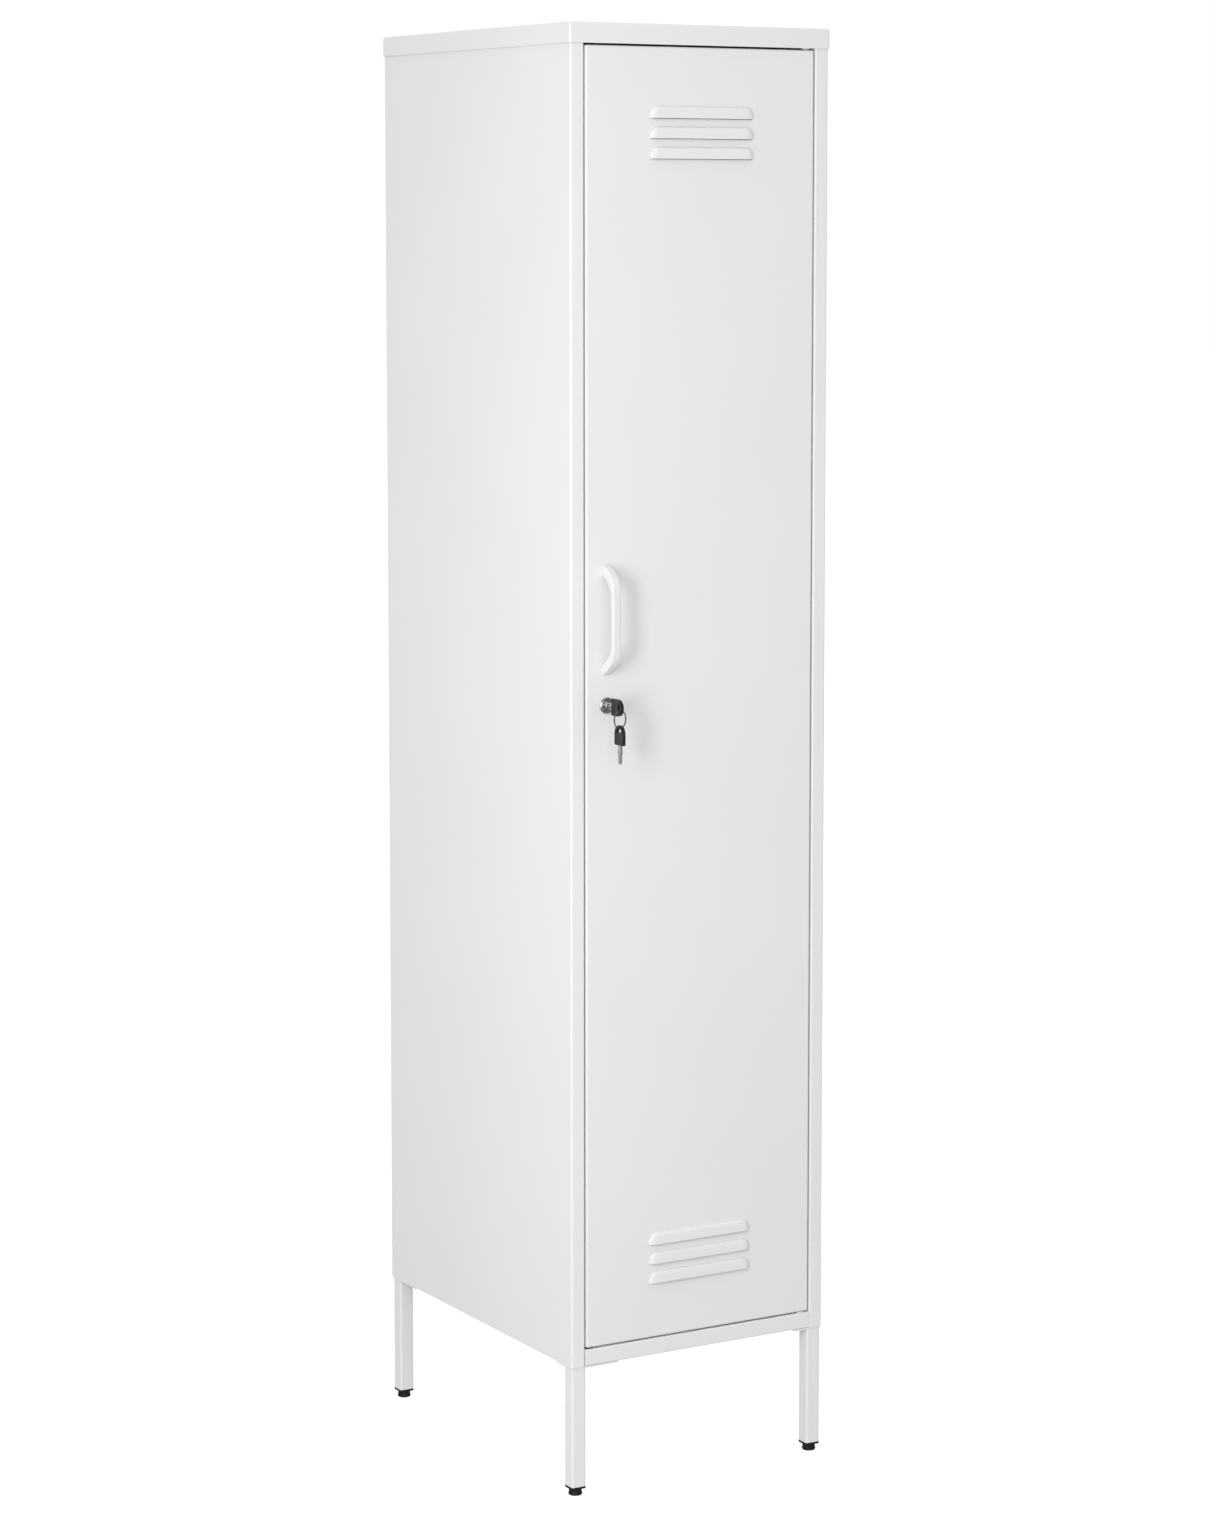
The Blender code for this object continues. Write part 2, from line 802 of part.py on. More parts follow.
def door_panel(look):
    """A folded tray with a turned-in rear lip, six louvres and the fittings' holes."""
    block = box(
        (-DOOR_HALF, FACE, DOOR_BOTTOM), (DOOR_HALF, DOOR_REAR, DOOR_TOP), BEND, 3
    )
    door = place("door_panel", block, look["powder_white"], origin=DOOR_AXIS)
    cut(
        door,
        box(
            (-DOOR_HALF + SHEET, FACE + SHEET, DOOR_BOTTOM + SHEET),
            (DOOR_HALF - SHEET, DOOR_REAR - SHEET, DOOR_TOP - SHEET),
            BEND - SHEET,
            3,
        ),
    )
    cut(
        door,
        box(
            (-DOOR_HALF + DOOR_LIP, DOOR_REAR - 3 * MM, DOOR_BOTTOM + DOOR_LIP),
            (DOOR_HALF - DOOR_LIP, DOOR_REAR + 3 * MM, DOOR_TOP - DOOR_LIP),
        ),
    )
    join(door, merged(*[louvre_hood(lip, 0) for lip in LOUVRE_LIPS]))
    cut(door, merged(*[louvre_hood(lip, SHEET) for lip in LOUVRE_LIPS]))
    face_hole = (FITTINGS_X, FACE, LOCK_Z)
    holes = [disc(BARREL_RADIUS + FIT, -THROUGH, THROUGH, face_hole, "Y", 32)]
    for z in handle_screw_levels():
        centre = (FITTINGS_X, FACE, z)
        holes.append(disc(SCREW_RADIUS + 2 * FIT, -THROUGH, THROUGH, centre, "Y"))
    for z in (DOOR_BOTTOM, DOOR_TOP):
        holes.append(disc(PIN_RADIUS + FIT, -2 * MM, 2 * MM, (HINGE_X, HINGE_Y, z)))
    cut(door, merged(*holes))


def door_stiffener(look):
    """A hat section spot-welded down the middle of the door."""
    near, far = FACE + SHEET + FIT, FACE + STIFFENER_DEPTH
    path = [
        (-STIFFENER_HALF, near),
        (-STIFFENER_CROWN, near),
        (-STIFFENER_CROWN, far),
        (STIFFENER_CROWN, far),
        (STIFFENER_CROWN, near),
        (STIFFENER_HALF, near),
    ]
    place(
        "door_stiffener",
        prism(folded(path), STIFFENER_BOTTOM, STIFFENER_TOP),
        look["powder_white"],
        origin=DOOR_AXIS,
    )


def hinge_pins(look):
    """Shouldered pins, held in the door's upper and lower edges."""
    r, collar = PIN_RADIUS, 4.5 * MM
    top, bottom = DOOR_TOP - SHEET - FIT, DOOR_BOTTOM + SHEET + FIT
    place(
        "hinge_pin_top",
        turned(
            (
                (0, top - 18 * MM),
                (r, top - 18 * MM),
                (r, top - 4 * MM),
                (collar, top - 4 * MM),
                (collar, top),
                (r, top),
                (r, CAP_BOTTOM + 9 * MM),
                (0, CAP_BOTTOM + 9 * MM),
            ),
            DOOR_AXIS,
        ),
        look["steel"],
        origin=DOOR_AXIS,
    )
    place(
        "hinge_pin_bottom",
        turned(
            (
                (0, FLOOR_TOP - 9 * MM),
                (r, FLOOR_TOP - 9 * MM),
                (r, bottom),
                (collar, bottom),
                (collar, bottom + 4 * MM),
                (r, bottom + 4 * MM),
                (r, bottom + 18 * MM),
                (0, bottom + 18 * MM),
            ),
            DOOR_AXIS,
        ),
        look["steel"],
        origin=DOOR_AXIS,
    )


def handle_screw_levels():
    reach = HANDLE_LENGTH / 2 - HANDLE_SCREW_INSET
    return HANDLE_Z - reach, HANDLE_Z + reach


def handle(look):
    """A bow whose ends sweep down to the door in one long curve."""
    foot, sweep, inner_sweep = 13 * MM, 42 * MM, 32 * MM
    end = HANDLE_LENGTH / 2
    outer, inner = [], []
    steps = 7
    for i in range(steps + 1):
        s = sweep * (1 - math.cos(math.pi / 2 * i / steps))
        rise = HANDLE_STAND * (1 - (1 - s / sweep) ** 2.6)
        outer.append((max(rise, 1.6 * MM), end - s))
    for i in range(steps + 1):
        s = inner_sweep * (1 - math.cos(math.pi / 2 * i / steps))
        rise = HANDLE_GRIP_BACK * (1 - (1 - s / inner_sweep) ** 2.2)
        inner.append((rise, end - foot - s))
    upper = [(0, end)] + outer
    half_inner = inner[::-1]
    outline = upper + [(y, -z) for y, z in reversed(upper)]
    outline += [(y, -z) for y, z in inner] + half_inner
    base = FACE - FIT
    section = [(base - y, HANDLE_Z + z) for y, z in outline]
    half = HANDLE_WIDTH / 2
    bm = prism(section, FITTINGS_X - half, FITTINGS_X + half, "X")
    made = place("handle", bm, look["handle_white"], origin=DOOR_AXIS)
    rounding = made.modifiers.new("rounding", "BEVEL")
    rounding.width = 1.6 * MM
    rounding.segments = 2
    rounding.limit_method = "ANGLE"
    rounding.angle_limit = math.radians(50)
    deep = SCREW_REACH + MM
    holes = [
        disc(SCREW_RADIUS + FIT, -deep, THROUGH, (FITTINGS_X, FACE, z), "Y")
        for z in handle_screw_levels()
    ]
    cut(made, merged(*holes))


def handle_screws(look):
    head = FACE + SHEET + FIT
    for name, z in zip(("bottom", "top"), handle_screw_levels()):
        place(
            f"handle_screw_{name}",
            turned(
                (
                    (0, head + 2.6 * MM),
                    (0.6 * SCREW_HEAD, head + 2.4 * MM),
                    (SCREW_HEAD, head + 1.2 * MM),
                    (SCREW_HEAD, head),
                    (SCREW_RADIUS, head),
                    (SCREW_RADIUS, FACE - SCREW_REACH),
                    (0, FACE - SCREW_REACH),
                ),
                (FITTINGS_X, 0, z),
                "Y",
                16,
            ),
            look["zinc"],
            origin=DOOR_AXIS,
        )


# --- Lock and keys ------------------------------------------------------------------------------------


def lock(look):
    centre = (FITTINGS_X, 0, LOCK_Z)
    bore = PLUG_RADIUS + FIT
    back = FACE - FIT
    front = back - ROSETTE_THICK
    end = FACE + BARREL_REACH
    place(
        "lock_housing",
        turned(
            (
                (bore, front + 0.4 * MM),
                (bore + 0.5 * MM, front),
                (ROSETTE_RADIUS - 1.2 * MM, front),
                (ROSETTE_RADIUS - 0.3 * MM, front + 0.5 * MM),
                (ROSETTE_RADIUS, front + 1.4 * MM),
                (ROSETTE_RADIUS, back),
                (BARREL_RADIUS, back),
                (BARREL_RADIUS, end),
                (bore, end),
            ),
            centre,
            "Y",
            32,
        ),
        look["chrome"],
        origin=DOOR_AXIS,
    )
    near = FACE + SHEET + FIT
    nut = place(
        "lock_nut",
        hexagon(NUT_FLATS, near, near + NUT_THICK, centre, "Y"),
        look["zinc"],
        origin=DOOR_AXIS,
    )
    cut(nut, disc(BARREL_RADIUS + FIT, FACE, end, centre, "Y", 32))
    lock_plug(look, centre)
    lock_cam(look, centre)


def lock_plug(look, centre):
    x, _, z = centre
    shoulder = CAM_FRONT - FIT
    tail_end = CAM_FRONT + CAM_THICK + 0.7 * MM
    plug = place(
        "lock_plug",
        disc(PLUG_RADIUS, PLUG_FACE, shoulder, centre, "Y", 32),
        look["chrome"],
        origin=LOCK_AXIS,
    )
    half = PLUG_TAIL / 2
    tail = box((x - half, shoulder - MM, z - half), (x + half, tail_end, z + half))
    join(plug, tail)
    slot = BLADE_LENGTH + FIT
    wide, tall = BLADE_THICK / 2 + FIT, BLADE_WIDTH / 2 + FIT
    cut(
        plug,
        box(
            (x - wide, PLUG_FACE - THROUGH, z - tall),
            (x + wide, PLUG_FACE + slot, z + tall),
        ),
    )
    head = tail_end + FIT
    deep = CAM_SCREW_REACH + MM
    cut(
        plug,
        disc(CAM_SCREW_RADIUS + FIT, head - deep, head + THROUGH, centre, "Y"),
    )
    place(
        "cam_screw",
        turned(
            (
                (0, head + 3 * MM),
                (3.6 * MM, head + 2.7 * MM),
                (5.5 * MM, head + 1.6 * MM),
                (5.5 * MM, head),
                (CAM_SCREW_RADIUS, head),
                (CAM_SCREW_RADIUS, head - CAM_SCREW_REACH),
                (0, head - CAM_SCREW_REACH),
            ),
            centre,
            "Y",
        ),
        look["zinc"],
        origin=LOCK_AXIS,
    )


def lock_cam(look, centre):
    """The flat tongue, hanging down from the plug's square tail."""
    x, _, z = centre
    half = CAM_WIDTH / 2
    outline = arc((x, z), half, 0, 180, 8)
    outline += arc((x, z - CAM_LENGTH + half), half, 180, 360, 8)
    cam = place(
        "lock_cam",
        prism(outline, CAM_FRONT, CAM_FRONT + CAM_THICK, "Y"),
        look["zinc"],
        origin=LOCK_AXIS,
    )
    hole = PLUG_TAIL / 2 + FIT
    cut(
        cam,
        box(
            (x - hole, CAM_FRONT - THROUGH, z - hole),
            (x + hole, CAM_FRONT + CAM_THICK + THROUGH, z + hole),
        ),
    )


def bow_outline():
    """(across, along) points, along measured from the bow's blade end to its tip."""
    half, corner = BOW_WIDTH / 2, 1.5 * MM
    points = arc((-half + corner, corner), corner, 180, 270, 3)
    points += arc((half - corner, corner), corner, 270, 360, 3)
    points += arc((0, BOW_LENGTH - half), half, 0, 180, 16)
    return points


def hole_outline():
    """A half-moon, its straight side towards the blade."""
    chord = BOW_LENGTH - BOW_HOLE_CHORD
    points = []
    for i in range(13):
        angle = math.pi * i / 12
        points.append(
            (
                BOW_HOLE_HALF * math.cos(angle),
                chord + BOW_HOLE_DEPTH * math.sin(angle),
            )
        )
    return points


def blade_outline():
    """Tang, neck and notched blade with a rounded tip."""
    neck, blade = NECK_WIDTH / 2, BLADE_WIDTH / 2
    shoulder = -NECK_LENGTH
    tip = shoulder - BLADE_LENGTH
    right = [(neck, TANG_LENGTH), (neck, shoulder), (blade, shoulder)]
    notches = ((2.6, 0.7), (5.4, 1.0), (8.2, 0.6))
    for start, deep in notches:
        right += [
            (blade, shoulder - (start - 0.9) * MM),
            (blade - deep * MM, shoulder - start * MM),
            (blade, shoulder - (start + 0.9) * MM),
        ]
    right += [(blade, tip + 2.6 * MM), (blade - 1.4 * MM, tip + 0.7 * MM), (MM, tip)]
    return right + [(-a, b) for a, b in reversed(right)]


def key(look, prefix, frame, origin):
    """A key in the plane x = FITTINGS_X, placed by a frame that takes (across, along) to the world."""
    half = BOW_THICK / 2
    bow_mesh = prism(bow_outline(), -half, half)
    bow_mesh.transform(frame)
    bow = place(f"{prefix}_bow", bow_mesh, look["black_plastic"], origin)
    hole = prism(hole_outline(), -THROUGH, THROUGH)
    hole.transform(frame)
    cut(bow, hole)
    wide, thick = NECK_WIDTH / 2 + FIT, BLADE_THICK / 2 + FIT
    pocket = box((-wide, -THROUGH, -thick), (wide, TANG_LENGTH + FIT, thick))
    pocket.transform(frame)
    cut(bow, pocket)
    blade = prism(blade_outline(), -BLADE_THICK / 2, BLADE_THICK / 2)
    blade.transform(frame)
    place(f"{prefix}_blade", blade, look["steel"], origin)


def keys(look):
    """The key in the lock, the ring through its bow and the spare key on the ring."""
    ring_top = (FITTINGS_X, RING_TOP_Y, RING_TOP_Z)
    out_of_lock = Matrix(
        ((0, 0, 1, FITTINGS_X), (0, -1, 0, BOW_START), (1, 0, 0, LOCK_Z), (0, 0, 0, 1))
    )
    key(look, "key", out_of_lock, (FITTINGS_X, PLUG_FACE, LOCK_Z))
    ring_bottom = (FITTINGS_X, RING_TOP_Y, RING_BOTTOM_Z)
    tip_up = Matrix(
        (
            (0, 0, 1, FITTINGS_X),
            (1, 0, 0, RING_TOP_Y),
            (0, 1, 0, SPARE_TIP_Z - BOW_LENGTH),
            (0, 0, 0, 1),
        )
    )
    key(look, "spare_key", tip_up, ring_bottom)
    key_ring(look, ring_top)


def key_ring(look, top):
    bm = bmesh.new()
    rings = []
    around, wire = 28, 6
    for i in range(around):
        angle = 2 * math.pi * i / around
        ring = []
        for k in range(wire):
            turn = 2 * math.pi * (k + 0.5) / wire
            radius = RING_RADIUS + RING_WIRE * math.cos(turn)
            ring.append(
                bm.verts.new(
                    (
                        radius * math.sin(angle),
                        RING_WIRE * math.sin(turn),
                        radius * math.cos(angle),
                    )
                )
            )
        rings.append(ring)
    for i, here in enumerate(rings):
        there = rings[(i + 1) % around]
        for k in range(wire):
            m = (k + 1) % wire
            bm.faces.new((here[k], there[k], there[m], here[m]))
    middle = Vector(top) - Vector((0, 0, RING_RADIUS))
    bm.transform(Matrix.Translation(middle) @ Matrix.Rotation(RING_TURN, 4, "Z"))
    place("key_ring", bm, look["steel"], top)


def main():
    clear_scene()
    look = make_materials()
    side_panels(look)
    back_panel(look)
    top_cap(look)
    top_rail(look)
    bottom_tray(look)
    hinge_bushes(look)
    bumpers(look)
    legs(look)
    inside(look)
    door_panel(look)
    door_stiffener(look)
    hinge_pins(look)
    handle(look)
    handle_screws(look)
    lock(look)
    keys(look)


main()
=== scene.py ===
"""The looks of the school locker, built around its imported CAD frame. Metres, +Z up, in the row frame.

The sheet-metal nodes keep their CAD shape and get a powder-coat material. The handle, the lock, the keys,
their ring and the levelling feet are modelled again here in more detail.
"""

import json
import math

import bmesh
import bpy
from mathutils import Euler, Matrix, Vector


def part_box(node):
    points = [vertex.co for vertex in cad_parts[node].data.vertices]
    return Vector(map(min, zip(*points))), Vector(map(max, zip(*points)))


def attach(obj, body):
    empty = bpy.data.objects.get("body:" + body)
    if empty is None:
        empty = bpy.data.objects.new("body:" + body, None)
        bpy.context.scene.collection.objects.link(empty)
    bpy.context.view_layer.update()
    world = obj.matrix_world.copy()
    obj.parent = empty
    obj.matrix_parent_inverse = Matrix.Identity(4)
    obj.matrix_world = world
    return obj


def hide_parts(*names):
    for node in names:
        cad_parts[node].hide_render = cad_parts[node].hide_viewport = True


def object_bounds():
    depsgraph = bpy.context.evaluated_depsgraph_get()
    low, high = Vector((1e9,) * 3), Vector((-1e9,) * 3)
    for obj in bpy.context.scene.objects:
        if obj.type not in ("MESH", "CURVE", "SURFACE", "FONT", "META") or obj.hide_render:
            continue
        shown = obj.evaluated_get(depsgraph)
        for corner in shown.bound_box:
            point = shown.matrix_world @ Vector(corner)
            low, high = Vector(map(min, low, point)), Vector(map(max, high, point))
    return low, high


MM = 0.001

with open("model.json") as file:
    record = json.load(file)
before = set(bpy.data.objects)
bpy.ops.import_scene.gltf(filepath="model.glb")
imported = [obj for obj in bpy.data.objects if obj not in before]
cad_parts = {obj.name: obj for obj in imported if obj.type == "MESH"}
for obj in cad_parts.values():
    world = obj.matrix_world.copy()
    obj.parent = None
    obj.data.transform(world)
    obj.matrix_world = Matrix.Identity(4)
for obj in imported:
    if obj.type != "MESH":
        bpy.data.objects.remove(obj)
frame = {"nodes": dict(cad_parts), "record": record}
cad_low, cad_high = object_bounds()


# --- Materials -----------------------------------------------------------------------------------------


class Surface:
    """A material built node by node round its Principled shader."""

    def __init__(self, name, metallic=0.0, **constants):
        self.material = bpy.data.materials.new(name)
        self.material.use_nodes = True
        self.tree = self.material.node_tree
        self.shader = self.tree.nodes["Principled BSDF"]
        self.shader.inputs["Metallic"].default_value = metallic
        for socket, value in constants.items():
            self.shader.inputs[socket.replace("_", " ")].default_value = value
        self.place = self.tree.nodes.new("ShaderNodeTexCoord").outputs["Object"]

    def add(self, kind, inputs, **settings):
        """A node with these settings. An input is a value, or a socket to link."""
        node = self.tree.nodes.new(kind)
        for name, value in settings.items():
            setattr(node, name, value)
        for socket, value in inputs.items():
            if isinstance(value, bpy.types.NodeSocket):
                self.tree.links.new(value, node.inputs[socket])
            else:
                node.inputs[socket].default_value = value
        return node

    def noise(self, size, detail=2.0, stretch=(1, 1, 1)):
        """Noise from 0 to 1. Its features are about this size in metres, drawn out along axes by stretch."""
        place = self.place
        if stretch != (1, 1, 1):
            scale = [1 / s for s in stretch]
            place = self.add("ShaderNodeMapping", {"Vector": place, "Scale": scale}).outputs[0]
        inputs = {"Vector": place, "Scale": 1 / size, "Detail": detail, "Roughness": 0.55}
        return self.add("ShaderNodeTexNoise", inputs).outputs[0]

    def ramp(self, value, start, end, low, high):
        """The value from start to end, taken to low to high."""
        inputs = {"Value": value, "From Min": start, "From Max": end, "To Min": low, "To Max": high}
        return self.add("ShaderNodeMapRange", inputs, clamp=True).outputs[0]

    def maths(self, operation, *values):
        """The result of a math node on values or sockets."""
        return self.add("ShaderNodeMath", dict(enumerate(values)), operation=operation).outputs[0]

    def blended(self, factor, first, second):
        """One colour turning into another."""
        inputs = {"Factor": factor}
        node = self.add("ShaderNodeMix", inputs, data_type="RGBA")
        for socket, colour in ((6, first), (7, second)):
            if isinstance(colour, bpy.types.NodeSocket):
                self.tree.links.new(colour, node.inputs[socket])
            else:
                node.inputs[socket].default_value = (*colour, 1.0)
        return node.outputs[2]

    def edges(self, radius):
        """0 on flat surfaces, rising to 1 along edges, where a finish rubs through first."""
        rounded = self.add("ShaderNodeBevel", {"Radius": radius}, samples=4).outputs[0]
        true = self.add("ShaderNodeNewGeometry", {}).outputs["Normal"]
        same = self.add("ShaderNodeVectorMath", {0: rounded, 1: true}, operation="DOT_PRODUCT")
        return self.ramp(same.outputs["Value"], 0.99, 0.8, 0.0, 1.0)

    def finish(self, colour, roughness, height=None, depth=0.0):
        """Colour, roughness and bump go to the shader. Depth is how far a height of 1 stands, in metres."""
        self.tree.links.new(colour, self.shader.inputs["Base Color"])
        self.tree.links.new(roughness, self.shader.inputs["Roughness"])
        if height:
            inputs = {"Height": height, "Distance": depth, "Strength": 1.0}
            bump = self.add("ShaderNodeBump", inputs).outputs[0]
            self.tree.links.new(bump, self.shader.inputs["Normal"])
        return self.material


def toned(colour, share, lift=0.0):
    """A colour made lighter or darker."""
    return tuple(min(1.0, c * share + lift) for c in colour)


def powder_coat(name, white, roughness, peel):
    """Baked powder paint: a fine orange peel, faint clouding, and edges where the film lies thinner."""
    surface = Surface(name, Specular_IOR_Level=0.36)
    cloud = surface.maths("MULTIPLY", surface.noise(0.22, 3.0), 0.7)
    speckle = surface.maths("MULTIPLY", surface.noise(1.4 * MM, 2.0), 0.3)
    shade = surface.ramp(surface.maths("ADD", cloud, speckle), 0.3, 0.7, 0.0, 1.0)
    colour = surface.blended(shade, toned(white, 0.985), toned(white, 1.015))
    worn = surface.edges(0.8 * MM)
    patches = surface.ramp(surface.noise(7 * MM, 3.0), 0.4, 0.7, 0.15, 0.7)
    colour = surface.blended(surface.maths("MULTIPLY", worn, patches), colour, toned(white, 1.04))
    smudge = surface.ramp(surface.noise(0.05, 4.0), 0.35, 0.65, roughness - 0.03, roughness + 0.03)
    rough = surface.maths("SUBTRACT", smudge, surface.maths("MULTIPLY", worn, 0.06))
    fine_grain = surface.maths("MULTIPLY", surface.noise(peel / 4, 1.0), 0.3)
    grain = surface.maths("ADD", surface.noise(peel, 2.0), fine_grain)
    return surface.finish(colour, rough, grain, 0.035 * MM)


def plated(name, metal, roughness, cloud_size, scratch=(1, 1, 1)):
    """Plated metal: cloudy tone, wiped patches and fine scratches along one axis."""
    surface = Surface(name, metallic=1.0)
    cloud = surface.ramp(surface.noise(cloud_size, 4.0), 0.3, 0.7, 0.0, 1.0)
    colour = surface.blended(cloud, toned(metal, 0.9), metal)
    worn = surface.edges(0.4 * MM)
    colour = surface.blended(worn, colour, toned(metal, 1.15))
    scratches = surface.noise(0.35 * MM, 2.0, scratch)
    wiped = surface.ramp(surface.noise(6 * MM, 3.0), 0.35, 0.65, 0.75 * roughness, 1.25 * roughness)
    rough = surface.maths("ADD", wiped, surface.maths("MULTIPLY", scratches, 0.3 * roughness))
    return surface.finish(colour, rough, scratches, 0.01 * MM)


def moulded(name, plastic, roughness, grain, depth):
    """Moulded plastic or rubber: spark-eroded grain, rubbed lighter and smoother along its edges."""
    surface = Surface(name, Specular_IOR_Level=0.45)
    mottle = surface.ramp(surface.noise(9 * MM, 3.0), 0.3, 0.7, 0.0, 1.0)
    colour = surface.blended(mottle, toned(plastic, 0.9), toned(plastic, 1.1))
    worn = surface.edges(0.5 * MM)
    patches = surface.ramp(surface.noise(2.5 * MM, 3.0), 0.4, 0.7, 0.1, 0.8)
    colour = surface.blended(surface.maths("MULTIPLY", worn, patches), colour, toned(plastic, 1.15, 0.02))
    dull = surface.ramp(mottle, 0, 1, roughness - 0.04, roughness + 0.04)
    rough = surface.maths("SUBTRACT", dull, surface.maths("MULTIPLY", worn, 0.08))
    return surface.finish(colour, rough, surface.noise(grain, 2.0), depth)


def make_materials():
    """The look of each material slot, and of the ring's dark wire."""
    return {
        "powder_white": powder_coat("powder_white", (0.76, 0.76, 0.76), 0.42, 2.4 * MM),
        "handle_white": powder_coat("handle_white", (0.73, 0.73, 0.73), 0.4, 4 * MM),
        "chrome": plated("chrome", (0.78, 0.78, 0.79), 0.1, 12 * MM),
        "steel": plated("steel", (0.6, 0.595, 0.58), 0.26, 8 * MM, scratch=(1, 12, 12)),
        "spring_steel": plated("spring_steel", (0.3, 0.3, 0.3), 0.22, 4 * MM),
        "zinc": plated("zinc", (0.6, 0.61, 0.6), 0.38, 5 * MM),
        "black_plastic": moulded("black_plastic", (0.012, 0.012, 0.0125), 0.45, 0.35 * MM, 0.03 * MM),
        "nylon": moulded("nylon", (0.72, 0.72, 0.69), 0.5, 0.6 * MM, 0.01 * MM),
        "rubber": moulded("rubber", (0.02, 0.02, 0.02), 0.75, 0.5 * MM, 0.02 * MM),
    }


LOOK = make_materials()


# --- Mesh helpers --------------------------------------------------------------------------------------


def smoothed(mesh):
    """Smooth shading with sharp edges where faces meet at more than 35 degrees."""
    mesh.shade_smooth()
    mesh.set_sharp_from_angle(angle=math.radians(35))


def piece(name, bm, slot, body, *nodes, look=None):
    """A finished mesh becomes a piece that rides on its body, in place of these CAD nodes."""
    bmesh.ops.recalc_face_normals(bm, faces=bm.faces)
    mesh = bpy.data.meshes.new(name)
    bm.to_mesh(mesh)
    bm.free()
    smoothed(mesh)
    mesh.materials.append(LOOK[look or slot])
    made = bpy.data.objects.new(name, mesh)
    bpy.context.scene.collection.objects.link(made)
    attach(made, body)
    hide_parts(*nodes)


def turned(profile, centre, axis, segments=72):
    """(radius, height) points turned about an axis through the centre. Radius 0 closes an end."""
    bm = bmesh.new()
    rings = []
    for radius, height in profile:
        ring = []
        for i in range(segments if radius > 0 else 1):
            angle = 2 * math.pi * i / segments
            a, b = radius * math.cos(angle), radius * math.sin(angle)
            point = {"Z": (a, b, height), "Y": (a, height, b)}[axis]
            ring.append(bm.verts.new(Vector(centre) + Vector(point)))
        rings.append(ring)
    closed = profile[0][0] > 0 and profile[-1][0] > 0
    following = rings[1:] + rings[:1] if closed else rings[1:]
    for here, there in zip(rings, following):
        for i in range(segments):
            j = (i + 1) % segments
            corners = [here[i % len(here)], here[j % len(here)], there[j % len(there)], there[i % len(there)]]
            bm.faces.new(list(dict.fromkeys(corners)))
    return bm


def rounded_profile(points, radius, steps=4):
    """A profile whose inner corners are rounded off with short arcs, as far as their sides allow."""
    made = [points[0]]
    for before, here, after in zip(points, points[1:], points[2:]):
        here, before, after = Vector(here), Vector(before), Vector(after)
        reach = min(radius, (here - before).length / 2, (after - here).length / 2)
        start = here + (before - here).normalized() * reach
        end = here + (after - here).normalized() * reach
        for k in range(steps + 1):
            t = k / steps
            made.append(tuple(start * (1 - t) ** 2 + here * 2 * t * (1 - t) + end * t**2))
    made.append(points[-1])
    return made


def prism(outline, low, high):
    """A flat (x, y) outline drawn out along z."""
    bm = bmesh.new()
    ends = [[bm.verts.new((a, b, level)) for a, b in outline] for level in (low, high)]
    bm.faces.new(ends[0])
    bm.faces.new(list(reversed(ends[1])))
    for i in range(len(outline)):
        j = (i + 1) % len(outline)
        bm.faces.new((ends[0][j], ends[0][i], ends[1][i], ends[1][j]))
    bmesh.ops.recalc_face_normals(bm, faces=bm.faces)
    return bm


def skinned(rings):
    """A closed skin over rings of points, each joined to the next."""
    bm = bmesh.new()
    rings = [[bm.verts.new(point) for point in ring] for ring in rings]
    around = len(rings[0])
    for here, there in zip(rings, rings[1:]):
        for k in range(around):
            m = (k + 1) % around
            bm.faces.new((here[k], here[m], there[m], there[k]))
    bm.faces.new(rings[0])
    bm.faces.new(rings[-1])
    return bm


def loose(name, bm):
    """A mesh as an object that isn't a piece yet."""
    mesh = bpy.data.meshes.new(name)
    bm.to_mesh(mesh)
    bm.free()
    made = bpy.data.objects.new(name, mesh)
    bpy.context.scene.collection.objects.link(made)
    return made


def carved(bm, cutters, edge, segments):
    """A block with other blocks cut out of it and its edges rounded, as one finished mesh."""
    block = loose("block", bm)
    tools = [loose("tool", cutter) for cutter in cutters]
    for tool in tools:
        step = block.modifiers.new("cut", "BOOLEAN")
        step.operation = "DIFFERENCE"
        step.solver = "EXACT"
        step.object = tool
    rounding = block.modifiers.new("rounding", "BEVEL")
    rounding.width = edge
    rounding.segments = segments
    rounding.limit_method = "ANGLE"
    rounding.angle_limit = math.radians(40)
    rounding.use_clamp_overlap = True
    view = bpy.context.evaluated_depsgraph_get()
    made = bmesh.new()
    made.from_object(block, view)
    for used in [block, *tools]:
        bpy.data.objects.remove(used)
    return made


def arc(centre, radius, start, end, steps):
    """Points along an arc between two angles in degrees."""
    points = []
    for i in range(steps + 1):
        angle = math.radians(start + (end - start) * i / steps)
        points.append((centre[0] + radius * math.cos(angle), centre[1] + radius * math.sin(angle)))
    return points


def rounded_section(half_a, half_b, corner, steps):
    """A rectangle centred on 0 with round corners."""
    points = []
    for a, b, start in ((1, 1, 0), (-1, 1, 90), (-1, -1, 180), (1, -1, 270)):
        middle = (a * (half_a - corner), b * (half_b - corner))
        points += arc(middle, corner, start, start + 90, steps)
    return points


# --- Sheet metal and other nodes that keep their CAD shape ---------------------------------------------


def dress_nodes():
    """Every CAD node gets its slot's material."""
    slots = {part["node"]: part["material_slot"] for part in frame["record"]["subparts"]}
    for name, node in frame["nodes"].items():
        node.data.materials.clear()
        node.data.materials.append(LOOK[slots[name]])


# --- Handle --------------------------------------------------------------------------------------------

